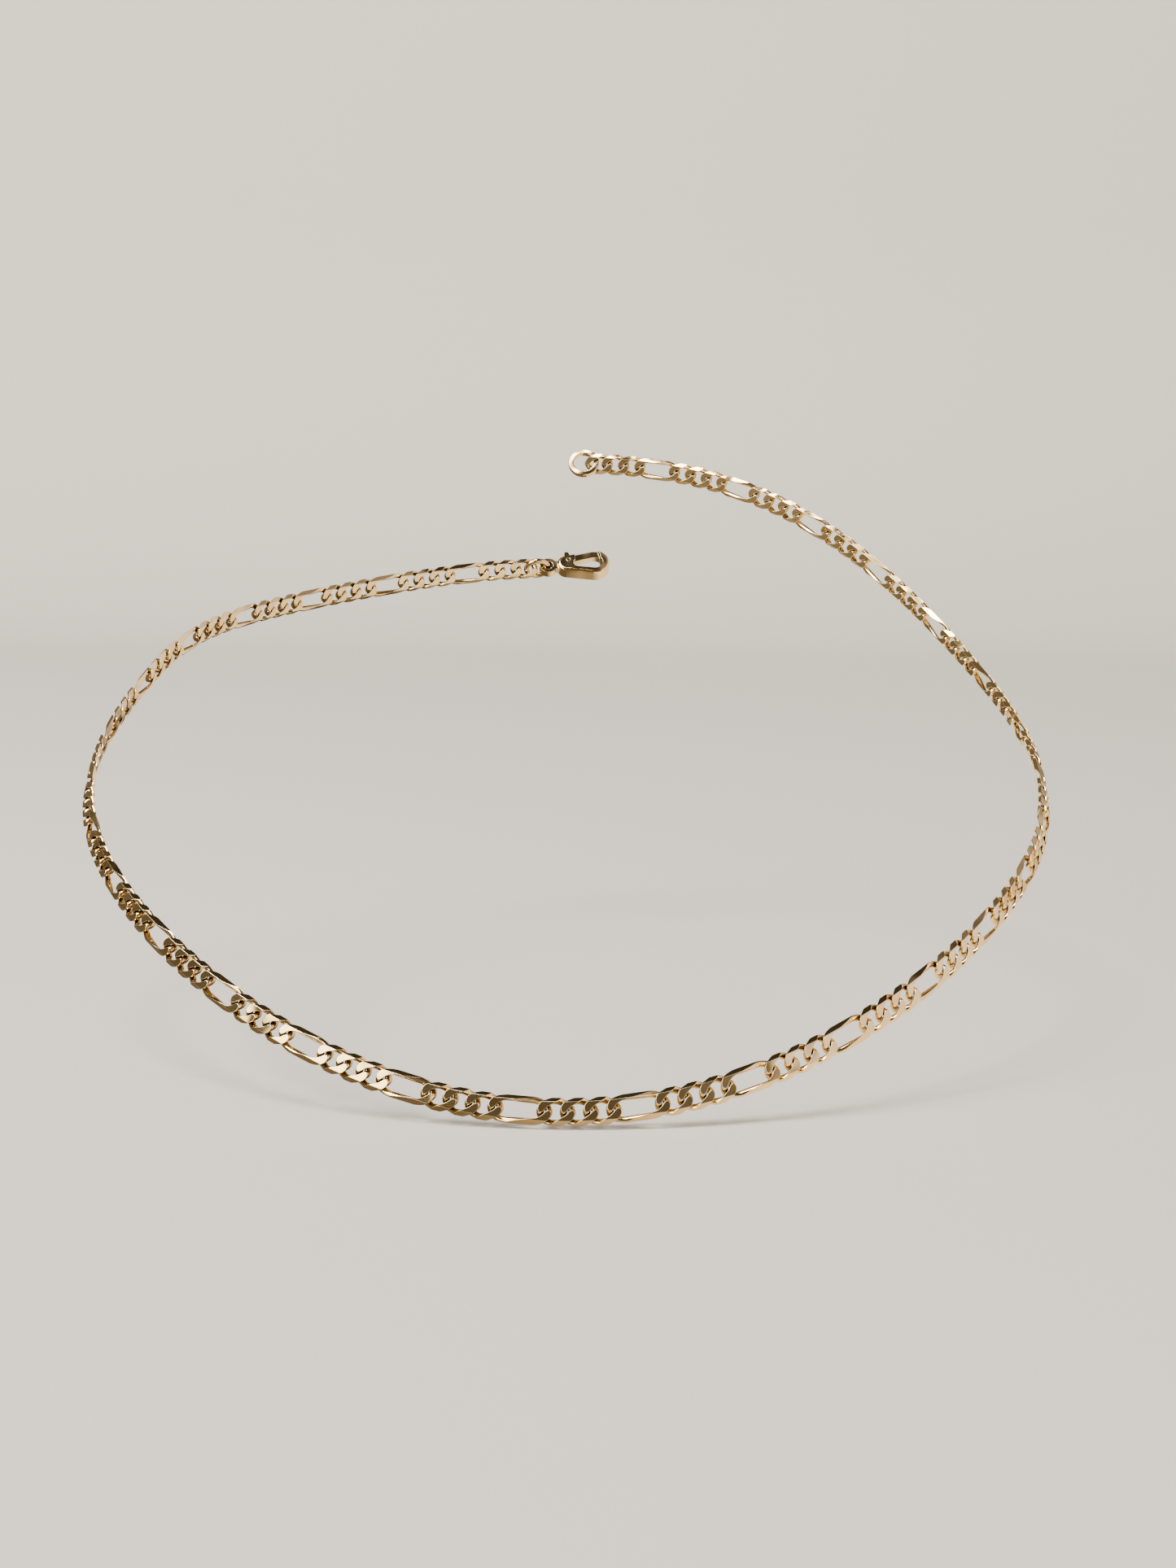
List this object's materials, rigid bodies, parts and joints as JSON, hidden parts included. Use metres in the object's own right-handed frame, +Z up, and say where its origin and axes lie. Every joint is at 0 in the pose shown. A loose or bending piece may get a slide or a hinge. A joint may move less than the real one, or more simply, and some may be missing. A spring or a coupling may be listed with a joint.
{
  "type": "chain necklace",
  "caption": "Gold-coloured figaro chain necklace with a lobster claw clasp, lying round a neck with the clasp undone",
  "frame": {"origin": "on the upright axis of the neck the chain hangs round, level with the lowest point of the chain's front", "axes": "+Z up, the chain's front faces -Y, +X to the wearer's left (a viewer's right)"},
  "size_m": [0.1246, 0.1235, 0.0734],
  "materials": {
    "gold": "polished",
    "spring_steel": "plain"
  },
  "bodies": {
    "front": {"front_short_run": "gold"},
    "left_01_long_link": {"left_01_long_link": "gold"},
    "left_01_short_run": {"left_01_short_run": "gold"},
    "left_02_long_link": {"left_02_long_link": "gold"},
    "left_02_short_run": {"left_02_short_run": "gold"},
    "left_03_long_link": {"left_03_long_link": "gold"},
    "left_03_short_run": {"left_03_short_run": "gold"},
    "left_04_long_link": {"left_04_long_link": "gold"},
    "left_04_short_run": {"left_04_short_run": "gold"},
    "left_05_long_link": {"left_05_long_link": "gold"},
    "left_05_short_run": {"left_05_short_run": "gold"},
    "left_06_long_link": {"left_06_long_link": "gold"},
    "left_06_short_run": {"left_06_short_run": "gold"},
    "left_07_long_link": {"left_07_long_link": "gold"},
    "left_07_short_run": {"left_07_short_run": "gold"},
    "left_08_long_link": {"left_08_long_link": "gold"},
    "left_08_short_run": {"left_08_short_run": "gold"},
    "left_09_long_link": {"left_09_long_link": "gold"},
    "left_09_short_run": {"left_09_short_run": "gold"},
    "left_10_long_link": {"left_10_long_link": "gold"},
    "left_10_short_run": {"left_10_short_run": "gold"},
    "left_11_long_link": {"left_11_long_link": "gold"},
    "left_11_short_run": {"left_11_short_run": "gold"},
    "left_12_rear_run": {"left_12_rear_run": "gold"},
    "left_13_rear_run": {"left_13_rear_run": "gold"},
    "left_14_rear_run": {"left_14_rear_run": "gold"},
    "left_15_rear_run": {"left_15_rear_run": "gold"},
    "right_01_long_link": {"right_01_long_link": "gold"},
    "right_01_short_run": {"right_01_short_run": "gold"},
    "right_02_long_link": {"right_02_long_link": "gold"},
    "right_02_short_run": {"right_02_short_run": "gold"},
    "right_03_long_link": {"right_03_long_link": "gold"},
    "right_03_short_run": {"right_03_short_run": "gold"},
    "right_04_long_link": {"right_04_long_link": "gold"},
    "right_04_short_run": {"right_04_short_run": "gold"},
    "right_05_long_link": {"right_05_long_link": "gold"},
    "right_05_short_run": {"right_05_short_run": "gold"},
    "right_06_long_link": {"right_06_long_link": "gold"},
    "right_06_short_run": {"right_06_short_run": "gold"},
    "right_07_long_link": {"right_07_long_link": "gold"},
    "right_07_short_run": {"right_07_short_run": "gold"},
    "right_08_long_link": {"right_08_long_link": "gold"},
    "right_08_short_run": {"right_08_short_run": "gold"},
    "right_09_long_link": {"right_09_long_link": "gold"},
    "right_09_short_run": {"right_09_short_run": "gold"},
    "right_10_long_link": {"right_10_long_link": "gold"},
    "right_10_short_run": {"right_10_short_run": "gold"},
    "right_11_long_link": {"right_11_long_link": "gold"},
    "right_11_short_run": {"right_11_short_run": "gold"},
    "right_12_rear_run": {"right_12_rear_run": "gold"},
    "right_13_rear_run": {"right_13_rear_run": "gold"},
    "right_14_rear_run": {"right_14_rear_run": "gold"},
    "right_15_rear_run": {"right_15_rear_run": "gold"},
    "end_ring": {"end_ring": "gold"},
    "clasp_jump_ring": {"clasp_jump_ring": "gold"},
    "clasp_claw": {"clasp_body": "gold", "clasp_pin": "gold", "clasp_spring": "spring_steel"},
    "clasp_lever": {"clasp_lever": "gold"}
  },
  "joints": [
    {"name": "clasp_lever_open", "type": "hinge", "parent": "clasp_claw", "child": "clasp_lever", "pos_m": [-0.00082, 0.06226, 0.05451], "axis": [-0.0403, 0.7436, -0.6674], "range_deg": [0, 18], "stiffness_Nm_per_rad": 0.01},
    {"name": "clasp_claw_swing", "type": "hinge", "parent": "clasp_jump_ring", "child": "clasp_claw", "pos_m": [-0.00384, 0.06157, 0.05393], "axis": [-0.0403, 0.7436, -0.6674], "range_deg": [-20, 20], "stiffness_Nm_per_rad": 0.03},
    {"name": "clasp_jump_ring_swing", "type": "hinge", "parent": "left_15_rear_run", "child": "clasp_jump_ring", "pos_m": [-0.00589, 0.06136, 0.05381], "axis": [-0.1122, 0.6604, 0.7425], "range_deg": [-20, 20], "stiffness_Nm_per_rad": 0.03},
    {"name": "end_ring_swing", "type": "hinge", "parent": "right_15_rear_run", "child": "end_ring", "pos_m": [0.00207, 0.05459, 0.06992], "axis": [0.0299, 0.8479, -0.5293], "range_deg": [-20, 20], "stiffness_Nm_per_rad": 0.03},
    {"name": "left_01_long_link_flex", "type": "hinge", "parent": "front", "child": "left_01_long_link", "pos_m": [-0.00155, -0.05808, 0.00002], "axis": [0.0302, 0.4219, 0.9062], "range_deg": [-20, 20], "stiffness_Nm_per_rad": 0.03},
    {"name": "left_01_short_run_sway", "type": "hinge", "parent": "left_01_long_link", "child": "left_01_short_run", "pos_m": [-0.00683, -0.05772, 0.00032], "axis": [-0.0614, -0.9061, 0.4186], "range_deg": [-12, 12], "stiffness_Nm_per_rad": 0.03},
    {"name": "left_02_long_link_flex", "type": "hinge", "parent": "left_01_short_run", "child": "left_02_long_link", "pos_m": [-0.01413, -0.05646, 0.00139], "axis": [0.26, 0.3636, 0.8945], "range_deg": [-20, 20], "stiffness_Nm_per_rad": 0.03},
    {"name": "left_02_short_run_sway", "type": "hinge", "parent": "left_02_long_link", "child": "left_02_short_run", "pos_m": [-0.01912, -0.05506, 0.00252], "axis": [-0.19, -0.899, 0.3947], "range_deg": [-12, 12], "stiffness_Nm_per_rad": 0.03},
    {"name": "left_03_long_link_flex", "type": "hinge", "parent": "left_02_short_run", "child": "left_03_long_link", "pos_m": [-0.02583, -0.05243, 0.00457], "axis": [0.4162, 0.2436, 0.876], "range_deg": [-20, 20], "stiffness_Nm_per_rad": 0.03},
    {"name": "left_03_short_run_sway", "type": "hinge", "parent": "left_03_long_link", "child": "left_03_short_run", "pos_m": [-0.03031, -0.05015, 0.00625], "axis": [-0.34, -0.8668, 0.3648], "range_deg": [-12, 12], "stiffness_Nm_per_rad": 0.03},
    {"name": "left_04_long_link_flex", "type": "hinge", "parent": "left_03_short_run", "child": "left_04_long_link", "pos_m": [-0.03624, -0.04636, 0.00884], "axis": [0.4888, 0.1088, 0.8656], "range_deg": [-20, 20], "stiffness_Nm_per_rad": 0.03},
    {"name": "left_04_short_run_sway", "type": "hinge", "parent": "left_04_long_link", "child": "left_04_short_run", "pos_m": [-0.04012, -0.04333, 0.01078], "axis": [-0.499, -0.7975, 0.3391], "range_deg": [-12, 12], "stiffness_Nm_per_rad": 0.03},
    {"name": "left_05_long_link_flex", "type": "hinge", "parent": "left_04_short_run", "child": "left_05_long_link", "pos_m": [-0.04517, -0.03854, 0.01358], "axis": [0.4968, -0.0135, 0.8678], "range_deg": [-20, 20], "stiffness_Nm_per_rad": 0.03},
    {"name": "left_05_short_run_sway", "type": "hinge", "parent": "left_05_long_link", "child": "left_05_short_run", "pos_m": [-0.04839, -0.03483, 0.01556], "axis": [-0.6523, -0.688, 0.3181], "range_deg": [-12, 12], "stiffness_Nm_per_rad": 0.03},
    {"name": "left_06_long_link_flex", "type": "hinge", "parent": "left_05_short_run", "child": "left_06_long_link", "pos_m": [-0.05244, -0.02916, 0.01833], "axis": [0.4625, -0.116, 0.879], "range_deg": [-20, 20], "stiffness_Nm_per_rad": 0.03},
    {"name": "left_06_short_run_sway", "type": "hinge", "parent": "left_06_long_link", "child": "left_06_short_run", "pos_m": [-0.05491, -0.02488, 0.02025], "axis": [-0.787, -0.5404, 0.2976], "range_deg": [-12, 12], "stiffness_Nm_per_rad": 0.03},
    {"name": "left_07_long_link_flex", "type": "hinge", "parent": "left_06_short_run", "child": "left_07_long_link", "pos_m": [-0.05778, -0.01849, 0.02291], "axis": [0.4028, -0.2057, 0.8919], "range_deg": [-20, 20], "stiffness_Nm_per_rad": 0.03},
    {"name": "left_07_short_run_sway", "type": "hinge", "parent": "left_07_long_link", "child": "left_07_short_run", "pos_m": [-0.05935, -0.01379, 0.02477], "axis": [-0.8916, -0.3611, 0.2731], "range_deg": [-12, 12], "stiffness_Nm_per_rad": 0.03},
    {"name": "left_08_long_link_flex", "type": "hinge", "parent": "left_07_short_run", "child": "left_08_long_link", "pos_m": [-0.06086, -0.00694, 0.02742], "axis": [0.3236, -0.2965, 0.8985], "range_deg": [-20, 20], "stiffness_Nm_per_rad": 0.03},
    {"name": "left_08_short_run_sway", "type": "hinge", "parent": "left_08_long_link", "child": "left_08_short_run", "pos_m": [-0.0614, -0.00203, 0.02933], "axis": [-0.9569, -0.1596, 0.2426], "range_deg": [-12, 12], "stiffness_Nm_per_rad": 0.03},
    {"name": "left_09_long_link_flex", "type": "hinge", "parent": "left_08_short_run", "child": "left_09_long_link", "pos_m": [-0.06142, 0.00491, 0.03217], "axis": [0.2183, -0.3924, 0.8935], "range_deg": [-20, 20], "stiffness_Nm_per_rad": 0.03},
    {"name": "left_09_short_run_sway", "type": "hinge", "parent": "left_09_long_link", "child": "left_09_short_run", "pos_m": [-0.06091, 0.00974, 0.03429], "axis": [-0.9767, 0.0533, 0.208], "range_deg": [-12, 12], "stiffness_Nm_per_rad": 0.03},
    {"name": "left_10_long_link_flex", "type": "hinge", "parent": "left_09_short_run", "child": "left_10_long_link", "pos_m": [-0.05948, 0.01636, 0.03749], "axis": [0.0833, -0.4742, 0.8765], "range_deg": [-20, 20], "stiffness_Nm_per_rad": 0.03},
    {"name": "left_10_short_run_sway", "type": "hinge", "parent": "left_10_long_link", "child": "left_10_short_run", "pos_m": [-0.05798, 0.02084, 0.0399], "axis": [-0.9483, 0.2646, 0.1755], "range_deg": [-12, 12], "stiffness_Nm_per_rad": 0.03},
    {"name": "left_11_long_link_flex", "type": "hinge", "parent": "left_10_short_run", "child": "left_11_long_link", "pos_m": [-0.0553, 0.027, 0.04323], "axis": [0.0041, -0.4114, 0.9114], "range_deg": [-20, 20], "stiffness_Nm_per_rad": 0.03},
    {"name": "left_11_short_run_sway", "type": "hinge", "parent": "left_11_long_link", "child": "left_11_short_run", "pos_m": [-0.05306, 0.03148, 0.04495], "axis": [-0.8913, 0.422, 0.166], "range_deg": [-12, 12], "stiffness_Nm_per_rad": 0.03},
    {"name": "left_12_rear_run_flex", "type": "hinge", "parent": "left_11_short_run", "child": "left_12_rear_run", "pos_m": [-0.04929, 0.03772, 0.04667], "axis": [0.0319, -0.2518, 0.9672], "range_deg": [-20, 20], "stiffness_Nm_per_rad": 0.03},
    {"name": "left_13_rear_run_sway", "type": "hinge", "parent": "left_12_rear_run", "child": "left_13_rear_run", "pos_m": [-0.04099, 0.04719, 0.0488], "axis": [-0.6758, 0.7203, 0.1561], "range_deg": [-12, 12], "stiffness_Nm_per_rad": 0.03},
    {"name": "left_14_rear_run_flex", "type": "hinge", "parent": "left_13_rear_run", "child": "left_14_rear_run", "pos_m": [-0.03063, 0.05437, 0.0508], "axis": [-0.0663, -0.204, 0.9767], "range_deg": [-20, 20], "stiffness_Nm_per_rad": 0.03},
    {"name": "left_15_rear_run_sway", "type": "hinge", "parent": "left_14_rear_run", "child": "left_15_rear_run", "pos_m": [-0.01888, 0.05904, 0.05264], "axis": [-0.2852, 0.9478, 0.1425], "range_deg": [-12, 12], "stiffness_Nm_per_rad": 0.03},
    {"name": "right_01_long_link_flex", "type": "hinge", "parent": "front", "child": "right_01_long_link", "pos_m": [0.00593, -0.05781, 0.00025], "axis": [-0.1146, 0.4118, 0.904], "range_deg": [-20, 20], "stiffness_Nm_per_rad": 0.03},
    {"name": "right_01_short_run_sway", "type": "hinge", "parent": "right_01_long_link", "child": "right_01_short_run", "pos_m": [0.01114, -0.05708, 0.00086], "axis": [0.103, -0.9053, 0.4122], "range_deg": [-12, 12], "stiffness_Nm_per_rad": 0.03},
    {"name": "right_02_long_link_flex", "type": "hinge", "parent": "right_01_short_run", "child": "right_02_long_link", "pos_m": [0.01828, -0.05532, 0.00231], "axis": [-0.3235, 0.3267, 0.888], "range_deg": [-20, 20], "stiffness_Nm_per_rad": 0.03},
    {"name": "right_02_short_run_sway", "type": "hinge", "parent": "right_02_long_link", "child": "right_02_short_run", "pos_m": [0.02311, -0.0536, 0.00367], "axis": [0.2396, -0.8916, 0.3843], "range_deg": [-12, 12], "stiffness_Nm_per_rad": 0.03},
    {"name": "right_03_long_link_flex", "type": "hinge", "parent": "right_02_short_run", "child": "right_03_long_link", "pos_m": [0.02956, -0.05056, 0.00595], "axis": [-0.4499, 0.197, 0.8711], "range_deg": [-20, 20], "stiffness_Nm_per_rad": 0.03},
    {"name": "right_03_short_run_sway", "type": "hinge", "parent": "right_03_long_link", "child": "right_03_short_run", "pos_m": [0.03384, -0.048, 0.00775], "axis": [0.3945, -0.8474, 0.3553], "range_deg": [-12, 12], "stiffness_Nm_per_rad": 0.03},
    {"name": "right_04_long_link_flex", "type": "hinge", "parent": "right_03_short_run", "child": "right_04_long_link", "pos_m": [0.03948, -0.04386, 0.01045], "axis": [-0.4977, 0.0646, 0.8649], "range_deg": [-20, 20], "stiffness_Nm_per_rad": 0.03},
    {"name": "right_04_short_run_sway", "type": "hinge", "parent": "right_04_long_link", "child": "right_04_short_run", "pos_m": [0.04315, -0.04058, 0.01242], "axis": [0.553, -0.7643, 0.3316], "range_deg": [-12, 12], "stiffness_Nm_per_rad": 0.03},
    {"name": "right_05_long_link_flex", "type": "hinge", "parent": "right_04_short_run", "child": "right_05_long_link", "pos_m": [0.04787, -0.03548, 0.01522], "axis": [-0.4888, -0.0509, 0.8709], "range_deg": [-20, 20], "stiffness_Nm_per_rad": 0.03},
    {"name": "right_05_short_run_sway", "type": "hinge", "parent": "right_05_long_link", "child": "right_05_short_run", "pos_m": [0.05085, -0.03157, 0.01719], "axis": [0.7013, -0.6413, 0.3113], "range_deg": [-12, 12], "stiffness_Nm_per_rad": 0.03},
    {"name": "right_06_long_link_flex", "type": "hinge", "parent": "right_05_short_run", "child": "right_06_long_link", "pos_m": [0.05451, -0.02563, 0.01993], "axis": [-0.4442, -0.1476, 0.8837], "range_deg": [-20, 20], "stiffness_Nm_per_rad": 0.03},
    {"name": "right_06_short_run_sway", "type": "hinge", "parent": "right_06_long_link", "child": "right_06_short_run", "pos_m": [0.05668, -0.02118, 0.02182], "axis": [0.8269, -0.4819, 0.2898], "range_deg": [-12, 12], "stiffness_Nm_per_rad": 0.03},
    {"name": "right_07_long_link_flex", "type": "hinge", "parent": "right_06_short_run", "child": "right_07_long_link", "pos_m": [0.05911, -0.0146, 0.02446], "axis": [-0.3779, -0.2362, 0.8952], "range_deg": [-20, 20], "stiffness_Nm_per_rad": 0.03},
    {"name": "right_07_short_run_sway", "type": "hinge", "parent": "right_07_long_link", "child": "right_07_short_run", "pos_m": [0.06033, -0.00979, 0.02632], "axis": [0.9189, -0.2938, 0.2633], "range_deg": [-12, 12], "stiffness_Nm_per_rad": 0.03},
    {"name": "right_08_long_link_flex", "type": "hinge", "parent": "right_07_short_run", "child": "right_08_long_link", "pos_m": [0.06134, -0.00286, 0.029], "axis": [-0.2908, -0.3294, 0.8983], "range_deg": [-20, 20], "stiffness_Nm_per_rad": 0.03},
    {"name": "right_08_short_run_sway", "type": "hinge", "parent": "right_08_long_link", "child": "right_08_short_run", "pos_m": [0.06152, 0.00205, 0.03097], "axis": [0.9691, -0.0871, 0.2309], "range_deg": [-12, 12], "stiffness_Nm_per_rad": 0.03},
    {"name": "right_09_long_link_flex", "type": "hinge", "parent": "right_08_short_run", "child": "right_09_long_link", "pos_m": [0.06103, 0.00893, 0.03392], "axis": [-0.1749, -0.4236, 0.8888], "range_deg": [-20, 20], "stiffness_Nm_per_rad": 0.03},
    {"name": "right_09_short_run_sway", "type": "hinge", "parent": "right_09_long_link", "child": "right_09_short_run", "pos_m": [0.06017, 0.01366, 0.03614], "axis": [0.9723, 0.1268, 0.1962], "range_deg": [-12, 12], "stiffness_Nm_per_rad": 0.03},
    {"name": "right_10_long_link_flex", "type": "hinge", "parent": "right_09_short_run", "child": "right_10_long_link", "pos_m": [0.05826, 0.02009, 0.03948], "axis": [-0.0324, -0.4936, 0.8691], "range_deg": [-20, 20], "stiffness_Nm_per_rad": 0.03},
    {"name": "right_10_short_run_sway", "type": "hinge", "parent": "right_10_long_link", "child": "right_10_short_run", "pos_m": [0.05646, 0.02439, 0.042], "axis": [0.9233, 0.3446, 0.1695], "range_deg": [-12, 12], "stiffness_Nm_per_rad": 0.03},
    {"name": "right_11_long_link_flex", "type": "hinge", "parent": "right_10_short_run", "child": "right_11_long_link", "pos_m": [0.05315, 0.02977, 0.04603], "axis": [0.1576, -0.57, 0.8064], "range_deg": [-20, 20], "stiffness_Nm_per_rad": 0.03},
    {"name": "right_11_short_run_sway", "type": "hinge", "parent": "right_11_long_link", "child": "right_11_short_run", "pos_m": [0.05039, 0.03312, 0.04907], "axis": [0.8058, 0.5644, 0.1791], "range_deg": [-12, 12], "stiffness_Nm_per_rad": 0.03},
    {"name": "right_12_rear_run_flex", "type": "hinge", "parent": "right_11_short_run", "child": "right_12_rear_run", "pos_m": [0.04598, 0.03738, 0.05339], "axis": [0.2781, -0.5271, 0.803], "range_deg": [-20, 20], "stiffness_Nm_per_rad": 0.03},
    {"name": "right_13_rear_run_sway", "type": "hinge", "parent": "right_12_rear_run", "child": "right_13_rear_run", "pos_m": [0.03723, 0.04371, 0.06023], "axis": [0.5916, 0.7884, 0.1683], "range_deg": [-12, 12], "stiffness_Nm_per_rad": 0.03},
    {"name": "right_14_rear_run_flex", "type": "hinge", "parent": "right_13_rear_run", "child": "right_14_rear_run", "pos_m": [0.02689, 0.049, 0.06555], "axis": [0.2425, -0.2775, 0.9296], "range_deg": [-20, 20], "stiffness_Nm_per_rad": 0.03},
    {"name": "right_15_rear_run_sway", "type": "hinge", "parent": "right_14_rear_run", "child": "right_15_rear_run", "pos_m": [0.01514, 0.05284, 0.06873], "axis": [0.249, 0.958, 0.1423], "range_deg": [-12, 12], "stiffness_Nm_per_rad": 0.03}
  ]
}
